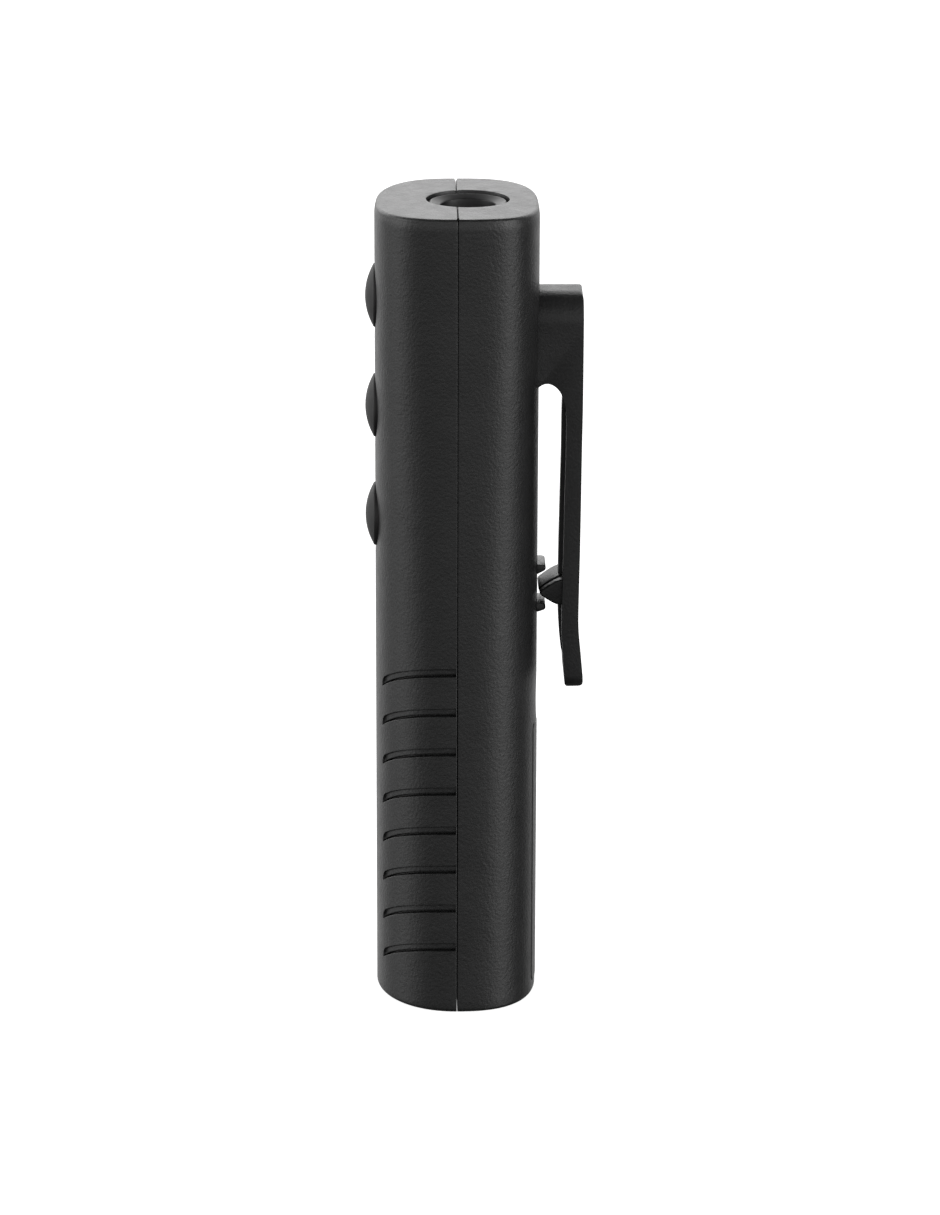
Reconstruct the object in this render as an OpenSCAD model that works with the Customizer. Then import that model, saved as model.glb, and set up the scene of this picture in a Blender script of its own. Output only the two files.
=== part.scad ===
// Non-contact voltage tester: a slim two-shell hand tool with three buttons
// on the front, a pocket clip on the rear, a torch in the top end and one
// AAA cell behind a door low on the rear. Units are millimetres.
// The origin is on the flat base at the body's axis. +Z runs up to the torch
// end, -Y is the button side, +Y is the clip side.

/* [Body] */
// Width of the body across the seam, left to right
body_w = 36; // [35:0.5:38]
// Depth of the body from the button side to the clip side
body_d = 28.3; // [27.9:0.1:28.7]
// Height of the body from the base to the flat top
body_h = 141; // [140.6:0.2:143]
// Share of the width and depth lost by the taper at the base
taper = 0.0165; // [0:0.0005:0.018]
// Wall thickness of both shells
wall = 2; // [1.8:0.1:2.1]
// Roundness exponent of the front half of the section
n_front = 2.08; // [2:0.01:2.1]
// Roundness exponent of the rear half of the section
n_rear = 2.5; // [2.25:0.05:2.6]
// Squareness added to both halves by the top end
n_rise = 0.5; // [0:0.05:0.6]
// Edge rounding at the top end
top_r = 0.6; // [0.5:0.1:1.2]
// Edge rounding at the base
base_r = 0.8; // [0.6:0.1:1.1]

/* [Grip grooves] */
// Number of grooves on each side of the front shell
groove_n = 8; // [3:1:8]
// Height of the lowest groove's upper edge at the seam
groove_z = 12.8; // [12.4:0.1:13]
// Spacing of the grooves
groove_pitch = 7.1; // [6.8:0.05:7.2]
// Width of a groove
groove_w = 1.45; // [1:0.05:1.6]
// Depth of a groove
groove_d = 0.7; // [0.3:0.05:0.9]

/* [Buttons] */
// Height of the lowest button
button_z = 85.5; // [85:0.1:86]
// Spacing of the buttons
button_pitch = 19.35; // [18.6:0.05:19.5]
// Diameter of a button cap
button_dia = 11; // [10:0.1:11.2]
// Height that a button's dome stands proud of the body
button_proud = 1.6; // [1:0.1:2]

/* [Torch] */
// Diameter of the hole in the top
top_hole = 14.3; // [14:0.1:14.6]
// Offset of the hole from the body's axis towards the clip
top_hole_y = 1.87; // [1.7:0.01:2]
// Bore of the collar
collar_bore = 9.4; // [8:0.1:10]
// Distance from the top face down to the collar
collar_sink = 0.4; // [0.3:0.1:0.7]

/* [Pocket clip] */
// Width of the clip
clip_w = 14; // [12:0.5:15]
// Height of the flexing point above the base
clip_pivot_z = 106.2; // [106:0.1:106.4]

/* [Battery] */
// Diameter of the cell
cell_dia = 10.5; // [10:0.1:10.6]
// Length of the cell with its button
cell_len = 44.5; // [44:0.1:44.5]
// Half width of the door opening
door_half = 8; // [7.8:0.1:8.2]
// Height of the door opening's lower edge
door_z0 = 2.25; // [2.2:0.05:2.4]
// Height of the door opening's upper edge
door_z1 = 49.55; // [49.4:0.05:50]

/* [Hidden] */
$fn = 64;

A = body_w / 2;
B = body_d / 2;
H = body_h;
BZ = [button_z + 2 * button_pitch, button_z + button_pitch, button_z];

// ---- section and loft functions -------------------------------------
function sgn(v) = v > 0 ? 1 : (v < 0 ? -1 : 0);
function scl(z) = 1 - taper * (1 - z / H);
// the section grows squarer from above the grooves to the top end
function rise(z) = let (u = min(1, max(0, (z - 64) / (H - 64)))) u * u * (3 - 2 * u);
// point on the section at angle t, height z, moved inwards by ins
function sec(t, z, ins) =
    let (c = cos(t), s = sin(t), n = (s < 0 ? n_front : n_rear) + n_rise * rise(z))
    [(A * scl(z) - ins) * sgn(c) * pow(abs(c), 2 / n),
     (B * scl(z) - ins) * sgn(s) * pow(abs(s), 2 / n)];
// closed loft from a grid of points; rings run upwards
function flat1(v) = [for (a = v) for (b = a) b];
function cyc(m, r) = flat1([for (j = [0:m - 1])
    let (k = (j + 1) % m, a = r * m + j, b = r * m + k,
         c = (r + 1) * m + k, d = (r + 1) * m + j)
    [[a, d, c], [a, c, b]]]);
module loft(g) {
    m = len(g[0]);
    n = len(g);
    polyhedron(
        points = flat1(g),
        faces = concat(
            [[for (j = [0:m - 1]) j]],
            flat1([for (r = [0:n - 2]) cyc(m, r)]),
            [[for (j = [m - 1:-1:0]) (n - 1) * m + j]]),
        convexity = 8);
}

// columns of the front half, closer together at a groove's two ends
FQ = [0, 1.3, 1.9, 8, 15, 22, 29, 36, 43, 50, 57, 62, 64.6, 65.8, 71, 77, 83.5, 90];
FT = concat([for (q = FQ) q - 180], [for (i = [len(FQ) - 2:-1:0]) -FQ[i]]);
// true where a column lies inside the grooves
function in_groove(i) =
    let (k = i < len(FQ) ? i : 2 * (len(FQ) - 1) - i) k >= 2 && k <= 12;
// distance along the section from the seam, at mid height
function seg(i) = norm(sec(-FQ[i], 70, 0) - sec(-FQ[i - 1], 70, 0));
function arc_to(k) = k <= 0 ? 0 : arc_to(k - 1) + seg(k);
SA = [for (k = [0:len(FQ) - 1]) arc_to(k)];
function arc_at(i) = SA[i < len(FQ) ? i : 2 * (len(FQ) - 1) - i];
function drop(i) = 0.0143 * pow(min(arc_at(i), 18.2), 2);

function flat_ring(ts, z, ins) = [for (t = ts) let (p = sec(t, z, ins)) [p[0], p[1], z]];
function groove_ring(z, dep) = [for (i = [0:len(FT) - 1])
    let (zz = z - drop(i), p = sec(FT[i], zz, in_groove(i) ? dep : 0))
    [p[0], p[1], zz]];

FRONT_GRID = concat(
    [flat_ring(FT, 0, base_r), flat_ring(FT, base_r * 0.29, base_r * 0.29),
     flat_ring(FT, base_r, 0)],
    flat1([for (k = [0:groove_n - 1]) let (z = groove_z + k * groove_pitch)
        [groove_ring(z - groove_w, 0), groove_ring(z - groove_w + 0.25, groove_d),
         groove_ring(z - 0.3, groove_d), groove_ring(z, 0)]]),
    [flat_ring(FT, 72, 0), flat_ring(FT, 90, 0), flat_ring(FT, 108, 0),
     flat_ring(FT, 126, 0), flat_ring(FT, H - top_r, 0), flat_ring(FT, H - top_r * 0.29, top_r * 0.29),
     flat_ring(FT, H, top_r)]);

RT = [for (i = [0:30]) i * 6];
function rear_grid(ins) = [
    flat_ring(RT, 0, base_r + ins), flat_ring(RT, base_r * 0.29, base_r * 0.29 + ins),
    flat_ring(RT, base_r, ins), flat_ring(RT, 64, ins), flat_ring(RT, 77, ins),
    flat_ring(RT, 90, ins), flat_ring(RT, 108, ins), flat_ring(RT, 126, ins),
    flat_ring(RT, H - top_r, ins),
    flat_ring(RT, H - top_r * 0.29, top_r * 0.29 + ins), flat_ring(RT, H, top_r + ins)];

IT = [for (i = [0:47]) i * 7.5];
module cavity() {
    loft([flat_ring(IT, wall, wall), flat_ring(IT, 66, wall), flat_ring(IT, 90, wall),
          flat_ring(IT, 114, wall), flat_ring(IT, H - wall - 0.4, wall)]);
}

// ---- small helpers ---------------------------------------------------
// cylinder along +Y starting at y
module ycyl(x, y, z, r, l) {
    translate([x, y, z]) rotate([-90, 0, 0]) cylinder(r = r, h = l);
}
module box(x0, x1, y0, y1, z0, z1) {
    translate([x0, y0, z0]) cube([x1 - x0, y1 - y0, z1 - z0]);
}
module thumb_scoop() {
    translate([0, 29.15, 53.4]) sphere(r = 16, $fn = 96);
}
module top_bore() {
    translate([0, top_hole_y, H - wall - 1]) cylinder(r = top_hole / 2, h = wall + 3);
}
// extrudes a profile drawn in Y and Z, w wide about x = 0
module side_profile(pts, w) {
    translate([-w / 2, 0, 0]) rotate([90, 0, 90]) linear_extrude(height = w) polygon(pts);
}

// ---- casing ----------------------------------------------------------
module front_shell() {
    color("#2b2c2e") difference() {
        union() {
            difference() {
                loft(FRONT_GRID);
                cavity();
            }
            // flat seats round the buttons
            for (z = BZ) ycyl(0, -12.4, z, 7.2, 1.45);
            // posts for the board screws
            for (x = [-9.4, 9.4], z = [70, 114.6]) ycyl(x, -10.8, z, 1.9, 3.8);
            // ledge under the board
            box(-6, 6, -12.2, -5.4, 4.4, 6);
        }
        for (z = BZ) ycyl(0, -18, z, button_dia / 2 + 0.15, 10);
        for (x = [-9.4, 9.4], z = [70, 114.6]) ycyl(x, -10.1, z, 1, 4);
        top_bore();
    }
}

module rear_shell() {
    color("#292a2c") difference() {
        union() {
            difference() {
                loft(rear_grid(0));
                cavity();
            }
            // two short ribs that flank the clip's pad
            side_profile([[12.8, 75.35], [14.1, 75.35], [15.35, 76.05], [15.5, 76.5],
                          [15.35, 76.9], [14.9, 77.05], [12.8, 77.05]], 6.4);
            side_profile([[12.8, 68.55], [14.1, 68.55], [15.3, 68.95], [15.5, 69.4],
                          [15.35, 69.85], [14.6, 70.2], [12.8, 70.25]], 6.4);
            // seats for the clip screws
            for (x = [-3.4, 3.4]) ycyl(x, 11.4, 118.5, 2.8, 1.4);
            // ledge under the torch board
            box(-4, 4, 6.3, 12.6, 121.3, 122.9);
            // locating tongues that reach past the seam
            for (m = [-1, 1]) for (z = [60, 96]) {
                box(min(m * 14.7, m * 16.4), max(m * 14.7, m * 16.4), 0.3, 2.2, z, z + 24);
                box(min(m * 14.7, m * 15.3), max(m * 14.7, m * 15.3), -1.5, 0.5, z, z + 24);
            }
        }
        box(-door_half, door_half, 9, 16, door_z0, door_z1);
        thumb_scoop();
        for (x = [-3.4, 3.4]) ycyl(x, 10, 118.5, 1.4, 6);
        top_bore();
    }
}

module battery_door() {
    color("#2a2b2d") difference() {
        union() {
            intersection() {
                difference() {
                    loft([flat_ring(RT, 1, -0.1), flat_ring(RT, 60, -0.1)]);
                    loft([flat_ring(RT, 0, 1.5), flat_ring(RT, 61, 1.5)]);
                }
                box(-door_half + 0.2, door_half - 0.2, 9, 16, door_z0 + 0.2, door_z1 - 0.2);
            }
            for (m = [-1, 1])
                box(m * 6.1 - 0.4, m * 6.1 + 0.4, 10.4, 12.6, 6, 46);
        }
        thumb_scoop();
    }
}

// ---- pocket clip -----------------------------------------------------
CPY = 19.97;
CPR = 1.52;
module clip_root() {
    color("#2b2c2e") difference() {
        intersection() {
            side_profile([[12.7, 109.0], [13.96, 109.3], [14.7, 109.95], [15.5, 110.15],
                          [16.35, 109.95], [17.15, 109.3], [17.75, 108.4], [18.2, 107.3],
                          [18.4, clip_pivot_z], [21.55, clip_pivot_z], [21.62, 124.4],
                          [21.54, 124.82], [21.3, 125.18], [20.94, 125.42],
                          [20.52, 125.5], [12.7, 125.5]], clip_w);
            // the block's top corners are rounded as seen from the rear
            union() {
                box(-clip_w / 2 - 1, clip_w / 2 + 1, 12, 23, clip_pivot_z - 1, 120.5);
                box(-clip_w / 2 + 5, clip_w / 2 - 5, 12, 23, 120, 126);
                for (m = [-1, 1]) ycyl(m * (clip_w / 2 - 5), 12, 120.5, 5, 11);
            }
        }
        loft(rear_grid(-0.02));
        translate([0, CPY, clip_pivot_z]) rotate([0, 90, 0])
            cylinder(r = CPR + 0.08, h = clip_w + 2, center = true);
        for (x = [-3.4, 3.4]) ycyl(x, 12, 118.5, 1.22, 7.2);
    }
}

module pocket_clip() {
    color("#2b2c2e") union() {
        intersection() {
            union() {
                side_profile([[18.45, clip_pivot_z], [18.82, 103.8], [18.72, 97],
                              [18.55, 89.6], [18.37, 78.9], [18.16, 68.1], [18.45, 60.9],
                              [18.66, 57], [18.8, 56.25], [19.3, 55.75], [21.1, 55.85],
                              [21.7, 56.2], [21.9, 57], [21.43, 62.7], [21.15, 65.6],
                              [21.05, 68.2], [21.25, 80.7], [21.45, 98.5],
                              [21.49, clip_pivot_z]], clip_w);
                translate([0, CPY, clip_pivot_z]) rotate([0, 90, 0])
                    cylinder(r = CPR, h = clip_w, center = true);
            }
            // rounded corners at the free end
            union() {
                box(-clip_w / 2 - 1, clip_w / 2 + 1, 16, 24, 58.2, 110);
                box(-clip_w / 2 + 2.5, clip_w / 2 - 2.5, 16, 24, 55, 59);
                for (m = [-1, 1]) ycyl(m * (clip_w / 2 - 2.5), 16, 58.2, 2.5, 8);
            }
        }
        // stiffening rib along the middle of the arm's inner side
        side_profile([[19.2, 103.6], [18.5, 103.4], [18.1, 102.6], [18.05, 97], [17.9, 89.6],
                      [17.7, 78.9], [17.65, 70], [17.85, 65], [18.2, 61.5], [19, 60.2]], 4);
        // pad that presses on the pocket cloth
        side_profile([[18.9, 70], [17.1, 70.35], [15.9, 71], [14.75, 71.7], [14.3, 72.1],
                      [14.17, 72.45], [14.4, 72.8], [15.1, 73.35], [16, 74], [17.2, 74.7],
                      [18.9, 75.3]], 10.4);
    }
}

module clip_screws() {
    color("#b9bcc0") for (x = [-3.4, 3.4]) difference() {
        union() {
            ycyl(x, 9.9, 118.5, 2.2, 1.5);
            ycyl(x, 11.3, 118.5, 1.2, 7.4);
        }
        box(x - 1.5, x + 1.5, 9.8, 10.5, 118.2, 118.8);
        box(x - 0.3, x + 0.3, 9.8, 10.5, 117, 120);
    }
}

// ---- torch -----------------------------------------------------------
module at_torch(z) { translate([0, top_hole_y, z]) children(); }

module collar_ring() {
    b = collar_bore / 2;
    color("#1f2022") at_torch(0) rotate_extrude($fn = 96) polygon([
        [b, 134], [b, H - collar_sink - 0.6], [6.2, H - collar_sink - 0.1],
        [6.35, H - collar_sink], [6.6, H - collar_sink], [6.75, H - collar_sink - 0.15],
        [6.75, H - wall - 0.4], [8.4, H - wall - 0.4], [8.4, 136.8], [6.75, 136.8],
        [6.75, 129.5], [6.15, 129.5], [6.15, 134]]);
}
module torch_lens() {
    color("#dfe6ea") at_torch(132) union() {
        cylinder(r = 6, h = 1.5);
        intersection() {
            translate([0, 0, -9.6]) sphere(r = 12, $fn = 96);
            cylinder(r = 4.5, h = 4);
        }
    }
}
module lens_gasket() {
    color("#151515") at_torch(133.5) difference() {
        cylinder(r = 6, h = 0.5);
        translate([0, 0, -1]) cylinder(r = 5, h = 3);
    }
}
module torch_reflector() {
    color("#c9ccd0") at_torch(0) rotate_extrude() polygon([
        [2.65, 127.5], [3.3, 127.9], [4.1, 128.8], [4.8, 130.1], [5.3, 131.7],
        [5.4, 132], [6, 132], [6, 124.5], [5.4, 124.5], [5.4, 127], [2.65, 127]]);
}
module torch_led() {
    color("#eef0d8") at_torch(124.5) union() {
        cylinder(r = 2.9, h = 1);
        cylinder(r = 2.5, h = 4.3);
        translate([0, 0, 4.3]) sphere(r = 2.5);
    }
}
module torch_board() {
    color("#1e5b3a") at_torch(122.9) difference() {
        cylinder(r = 6.4, h = 1.6);
        for (x = [-1.4, 1.4]) translate([x, -4.2, -1]) cylinder(r = 0.5, h = 4);
    }
}
module torch_leads() {
    color("#b3261e") for (x = [-1.4, 1.4]) union() {
        translate([x, top_hole_y - 4.2, 116.5]) cylinder(r = 0.42, h = 7.2, $fn = 32);
        translate([x, top_hole_y - 4.2, 116.5]) sphere(r = 0.42, $fn = 32);
        ycyl(x, -5.4, 116.5, 0.42, top_hole_y - 4.2 + 5.4);
    }
}

// ---- board and its parts ---------------------------------------------
BF = -7;
BR = -5.4;
module main_board() {
    color("#1f6b43") difference() {
        box(-12, 12, BF, BR, 6, 130);
        for (x = [-9.4, 9.4], z = [70, 114.6]) ycyl(x, BF - 1, z, 1.1, 4);
    }
}
module board_screws() {
    color("#b9bcc0") for (x = [-9.4, 9.4], z = [70, 114.6]) difference() {
        union() {
            ycyl(x, BR, z, 1.9, 1.2);
            ycyl(x, -9.9, z, 0.97, 4.6);
        }
        box(x - 1.2, x + 1.2, BR + 0.7, BR + 2, z - 0.25, z + 0.25);
        box(x - 0.25, x + 0.25, BR + 0.7, BR + 2, z - 1.2, z + 1.2);
    }
}
module sensing_antenna() {
    color("#b87333") union() {
        box(-5, 5, BR, BR + 0.25, 125, 136);
        box(-1, 1, BR, BR + 0.25, 120, 125.2);
    }
}
module detector_chip() {
    color("#17181a") union() {
        box(-2, 2, BR + 0.2, BR + 1.6, 95, 105);
        for (m = [-1, 1], k = [0:7])
            box(m * 2.4 - 0.6, m * 2.4 + 0.6, BR, BR + 0.5, 95.4 + k * 1.27, 95.8 + k * 1.27);
    }
}
module smd_passives() {
    color("#c8b48a") {
        for (k = [0:4]) {
            box(5.2, 6.8, BR, BR + 0.7, 94 + k * 2.6, 94.9 + k * 2.6);
            box(-6.8, -5.2, BR, BR + 0.7, 94 + k * 2.6, 94.9 + k * 2.6);
        }
        for (k = [0:3]) box(-8 + k * 4, -6.4 + k * 4, BR, BR + 0.9, 64, 65);
        for (k = [0:2]) box(6.5, 8.3, BR, BR + 1.1, 78 + k * 3, 79.2 + k * 3);
    }
}
module buzzer() {
    color("#202124") difference() {
        ycyl(0, BR, 84, 6, 3.5);
        ycyl(0, BR + 2.6, 84, 0.9, 2);
    }
}

// ---- buttons ---------------------------------------------------------
SR = (pow(5.6, 2) + pow(button_proud, 2)) / (2 * button_proud);
module button_cap(z) {
    union() {
        intersection() {
            ycyl(0, -18, z, button_dia / 2, 7.6);
            translate([0, -B - button_proud + SR, z]) sphere(r = SR, $fn = 128);
        }
        ycyl(0, -10.85, z, button_dia / 2 + 0.8, 0.8);
        ycyl(0, -10.2, z, 2, 0.45);
    }
}
module button_upper() { color("#303133") button_cap(BZ[0]); }
module button_middle() { color("#303133") button_cap(BZ[1]); }
module button_lower() { color("#303133") button_cap(BZ[2]); }

module switch_bodies() {
    color("#3c3d40") for (z = BZ) difference() {
        box(-3, 3, -8.9, BF, z - 3, z + 3);
        ycyl(0, -10, z, 1.8, 2.5);
    }
}
module plunger(z) { ycyl(0, -9.75, z, 1.7, 1.5); }
module switch_plunger_upper() { color("#8d2f2a") plunger(BZ[0]); }
module switch_plunger_middle() { color("#8d2f2a") plunger(BZ[1]); }
module switch_plunger_lower() { color("#8d2f2a") plunger(BZ[2]); }

// ---- battery ---------------------------------------------------------
CY = 6.2;
CR = cell_dia / 2;
CZ0 = 4.2;
CZ1 = CZ0 + cell_len;
module battery_holder() {
    color("#232426") difference() {
        union() {
            box(-7.3, 7.3, -0.6, 8.6, 2.6, 54);
            for (x = [-6.3, 6.3], z = [8, 48]) box(x - 1, x + 1, BR, 0, z, z + 3);
        }
        box(-5.6, 5.6, 0.85, 10, 3.8, 52.8);
    }
}
module battery_cell() {
    color("#b8863b") translate([0, CY, 0]) rotate_extrude() polygon([
        [0, CZ0], [1.7, CZ0], [1.9, CZ0 + 0.2], [1.9, CZ0 + 1], [CR - 0.5, CZ0 + 1],
        [CR, CZ0 + 1.4], [CR, CZ1 - 0.4], [CR - 0.4, CZ1], [0, CZ1]]);
}
// conical spring: wire swept along a helix
SPN = 56;
function sp_c(i) = let (f = i / SPN, a = f * 360 * 3.5, r = 3.3 - 1.3 * f)
    [r * cos(a), CY + r * sin(a), CZ1 + 0.34 + f * (52.4 - CZ1 - 0.68)];
function sp_ring(i) = let (f = i / SPN, a = f * 360 * 3.5)
    [for (k = [0:7]) let (b = k * 45)
        sp_c(i) + [0.3 * cos(b) * cos(a), 0.3 * cos(b) * sin(a), 0.3 * sin(b)]];
module contact_spring() {
    color("#c7cacf") loft([for (i = [0:SPN]) sp_ring(i)]);
}
module positive_contact() {
    color("#c7cacf") box(-3.6, 3.6, 1.6, 8.6, 3.8, CZ0);
}
module negative_contact() {
    color("#c7cacf") box(-3.6, 3.6, 1.6, 8.6, 52.4, 52.8);
}

front_shell();
rear_shell();
battery_door();
clip_root();
pocket_clip();
clip_screws();
collar_ring();
torch_lens();
lens_gasket();
torch_reflector();
torch_led();
torch_board();
torch_leads();
main_board();
board_screws();
sensing_antenna();
detector_chip();
smd_passives();
buzzer();
button_upper();
button_middle();
button_lower();
switch_bodies();
switch_plunger_upper();
switch_plunger_middle();
switch_plunger_lower();
battery_holder();
battery_cell();
contact_spring();
positive_contact();
negative_contact();
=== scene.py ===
import bpy
import bmesh
import math
import numpy as np
from mathutils import Vector, Matrix


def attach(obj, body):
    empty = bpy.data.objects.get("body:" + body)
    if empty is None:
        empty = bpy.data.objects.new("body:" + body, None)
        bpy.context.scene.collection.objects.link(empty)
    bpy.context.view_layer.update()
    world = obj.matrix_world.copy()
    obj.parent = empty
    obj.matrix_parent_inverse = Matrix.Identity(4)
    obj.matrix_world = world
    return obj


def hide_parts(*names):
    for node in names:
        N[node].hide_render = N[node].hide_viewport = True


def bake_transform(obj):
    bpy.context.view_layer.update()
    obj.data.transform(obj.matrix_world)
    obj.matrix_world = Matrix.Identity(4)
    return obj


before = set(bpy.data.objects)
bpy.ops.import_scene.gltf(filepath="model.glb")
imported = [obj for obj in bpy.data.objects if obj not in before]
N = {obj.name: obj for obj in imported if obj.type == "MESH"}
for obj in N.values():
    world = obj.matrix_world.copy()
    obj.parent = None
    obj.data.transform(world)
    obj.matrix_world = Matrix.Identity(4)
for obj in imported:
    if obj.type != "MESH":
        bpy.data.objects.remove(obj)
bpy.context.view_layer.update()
MM = 0.001
scene = bpy.context.scene

# ---------------------------------------------------------------- camera
AZ, EL, DIST = 89.107, 15.833, 0.989772
TARGET = Vector((0.0, 0.002384, 0.068461))
ROLL = 0.13


def place_camera():
    a, e = math.radians(AZ), math.radians(EL)
    back = Vector((math.sin(a) * math.cos(e), -math.cos(a) * math.cos(e), math.sin(e)))
    cam = bpy.data.cameras.new("camera")
    cam.sensor_width = 36.0
    cam.sensor_fit = "AUTO"
    cam.lens = 5683.772 * 36.0 / 1215.0
    cam.clip_start = 0.01
    cam.clip_end = 20.0
    ob = bpy.data.objects.new("camera", cam)
    scene.collection.objects.link(ob)
    ob.location = TARGET + back * DIST
    rot = back.to_track_quat("Z", "Y").to_matrix() @ Matrix.Rotation(math.radians(ROLL), 3, "Z")
    ob.rotation_euler = rot.to_euler()
    scene.camera = ob


# ---------------------------------------------------------------- section
A, B, H, TAPER = 18.0, 14.15, 141.0, 0.0165
NF, NR, N_RISE = 2.08, 2.5, 0.5
TOP_R, BASE_R = 0.6, 0.8


def scl(z):
    return 1 - TAPER * (1 - np.asarray(z, float) / H)


def exponent(z, n):
    """The section grows squarer from above the grooves to the top end."""
    u = np.clip((np.asarray(z, float) - 64.0) / (H - 64.0), 0, 1)
    return n + N_RISE * u * u * (3 - 2 * u)


def crown(y):
    """The top face falls away a little towards the front and the rear."""
    return 0.32 * np.clip((np.abs(y) - 3.0) / 10.0, 0, 1.1) ** 2.2


def sec(t, z, ins, n):
    """Point of the outline at angle t (radians), height z (mm), moved inwards by ins."""
    c, s = np.cos(t), np.sin(t)
    n = exponent(z, n)
    x = (A * scl(z) - ins) * np.sign(c) * np.abs(c) ** (2 / n)
    y = (B * scl(z) - ins) * np.sign(s) * np.abs(s) ** (2 / n)
    return x, y


def arc_table(n):
    t = np.linspace(0, math.pi / 2, 4001)
    x, y = sec(t, 70.0, 0.0, n)
    d = np.concatenate([[0], np.cumsum(np.hypot(np.diff(x), np.diff(y)))])
    return t, d


def angles_at(s, n):
    t, d = arc_table(n)
    return np.interp(s, d, t), d[-1]


def smooth(x):
    x = np.clip(x, 0, 1)
    return x * x * (3 - 2 * x)


# ---------------------------------------------------------------- meshes
def mesh_object(name, verts, faces):
    me = bpy.data.meshes.new(name)
    me.from_pydata([tuple(v) for v in verts], [], faces)
    me.validate()
    ob = bpy.data.objects.new(name, me)
    scene.collection.objects.link(ob)
    return ob


def fix_normals(ob):
    bm = bmesh.new()
    bm.from_mesh(ob.data)
    bmesh.ops.recalc_face_normals(bm, faces=bm.faces)
    bm.to_mesh(ob.data)
    bm.free()
    return ob


def ring_mesh(name, rings):
    """Closed mesh through rings of equal length, given in mm, lowest first."""
    g = np.asarray(rings, float) * MM
    n, m = g.shape[0], g.shape[1]
    idx = np.arange(n * m).reshape(n, m)
    a, b = idx[:-1, :], np.roll(idx, -1, 1)[:-1, :]
    c, d = np.roll(idx, -1, 1)[1:, :], idx[1:, :]
    faces = np.stack([a, b, c, d], -1).reshape(-1, 4).tolist()
    faces.append(idx[0, ::-1].tolist())
    faces.append(idx[-1].tolist())
    return fix_normals(mesh_object(name, g.reshape(-1, 3), faces))


def lathe(name, prof, origin, axis="Z", seg=96):
    """Closed turned solid from (radius, height) pairs in mm; the first and last may lie on the axis."""
    prof = [(max(r, 0.0), h) for r, h in prof]
    ang = np.arange(seg) * 2 * math.pi / seg
    verts, rows, faces = [], [], []
    for r, h in prof:
        if r < 1e-6:
            rows.append([len(verts)])
            verts.append((0, 0, h))
        else:
            rows.append(list(range(len(verts), len(verts) + seg)))
            verts += [(r * math.cos(q), r * math.sin(q), h) for q in ang]
    loop = list(zip(rows, rows[1:]))
    if prof[0][0] > 1e-6 and prof[-1][0] > 1e-6:
        loop.append((rows[-1], rows[0]))
    for p, q in loop:
        for i in range(seg):
            j = (i + 1) % seg
            if len(p) == 1:
                faces.append([p[0], q[j], q[i]])
            elif len(q) == 1:
                faces.append([p[i], p[j], q[0]])
            else:
                faces.append([p[i], p[j], q[j], q[i]])
    v = np.array(verts, float)
    if axis == "-Y":
        v = np.stack([v[:, 0], -v[:, 2], v[:, 1]], 1)
    elif axis == "Y":
        v = np.stack([v[:, 0], v[:, 2], -v[:, 1]], 1)
    v = (v + np.array(origin, float)) * MM
    return fix_normals(mesh_object(name, v, faces))


def prism_x(name, pts, x0, x1):
    """Profile in (y, z) mm, extruded along X."""
    k = len(pts)
    verts = [(x0, y, z) for y, z in pts] + [(x1, y, z) for y, z in pts]
    faces = [list(range(k)), list(range(2 * k - 1, k - 1, -1))]
    faces += [[i, (i + 1) % k, k + (i + 1) % k, k + i] for i in range(k)]
    return fix_normals(mesh_object(name, np.array(verts) * MM, faces))


def prism_y(name, pts, y0, y1):
    """Outline in (x, z) mm, extruded along Y."""
    k = len(pts)
    verts = [(x, y0, z) for x, z in pts] + [(x, y1, z) for x, z in pts]
    faces = [list(range(k)), list(range(2 * k - 1, k - 1, -1))]
    faces += [[i, (i + 1) % k, k + (i + 1) % k, k + i] for i in range(k)]
    return fix_normals(mesh_object(name, np.array(verts) * MM, faces))


def round_rect(x0, x1, z0, z1, radii, seg=12):
    """Outline of a rectangle with its own radius at each corner: (x0,z0) (x1,z0) (x1,z1) (x0,z1)."""
    out = []
    for (cx, cz, sx, sz, a0), r in zip(
        [(x0, z0, 1, 1, 180), (x1, z0, -1, 1, 270), (x1, z1, -1, -1, 0), (x0, z1, 1, -1, 90)], radii
    ):
        if r <= 0:
            out.append((cx, cz))
            continue
        for k in range(seg + 1):
            q = math.radians(a0 + 90 * k / seg)
            out.append((cx + sx * r + r * math.cos(q), cz + sz * r + r * math.sin(q)))
    return out


def boolean(target, op, *tools):
    for k, t in enumerate(tools):
        m = target.modifiers.new("b%d" % k, "BOOLEAN")
        m.operation = op
        m.object = t
        m.solver = "MANIFOLD"
    apply_all(target)
    for t in tools:
        bpy.data.objects.remove(t, do_unlink=True)
    return target


def apply_all(ob):
    dg = bpy.context.evaluated_depsgraph_get()
    dg.update()
    me = bpy.data.meshes.new_from_object(ob.evaluated_get(dg), preserve_all_data_layers=True, depsgraph=dg)
    ob.modifiers.clear()
    ob.data = me
    return ob


def clean(ob, dist=1e-6):
    bm = bmesh.new()
    bm.from_mesh(ob.data)
    bmesh.ops.remove_doubles(bm, verts=bm.verts, dist=dist)
    bmesh.ops.dissolve_degenerate(bm, edges=bm.edges, dist=dist)
    bmesh.ops.recalc_face_normals(bm, faces=bm.faces)
    bm.to_mesh(ob.data)
    bm.free()


def shade(ob, angle=32):
    ob.data.shade_smooth()
    ob.data.set_sharp_from_angle(angle=math.radians(angle))
    return ob


def bevel(ob, width, seg=4, angle=40):
    m = ob.modifiers.new("bevel", "BEVEL")
    m.width = width * MM
    m.segments = seg
    m.limit_method = "ANGLE"
    m.angle_limit = math.radians(angle)
    m.use_clamp_overlap = True
    return m


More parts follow.
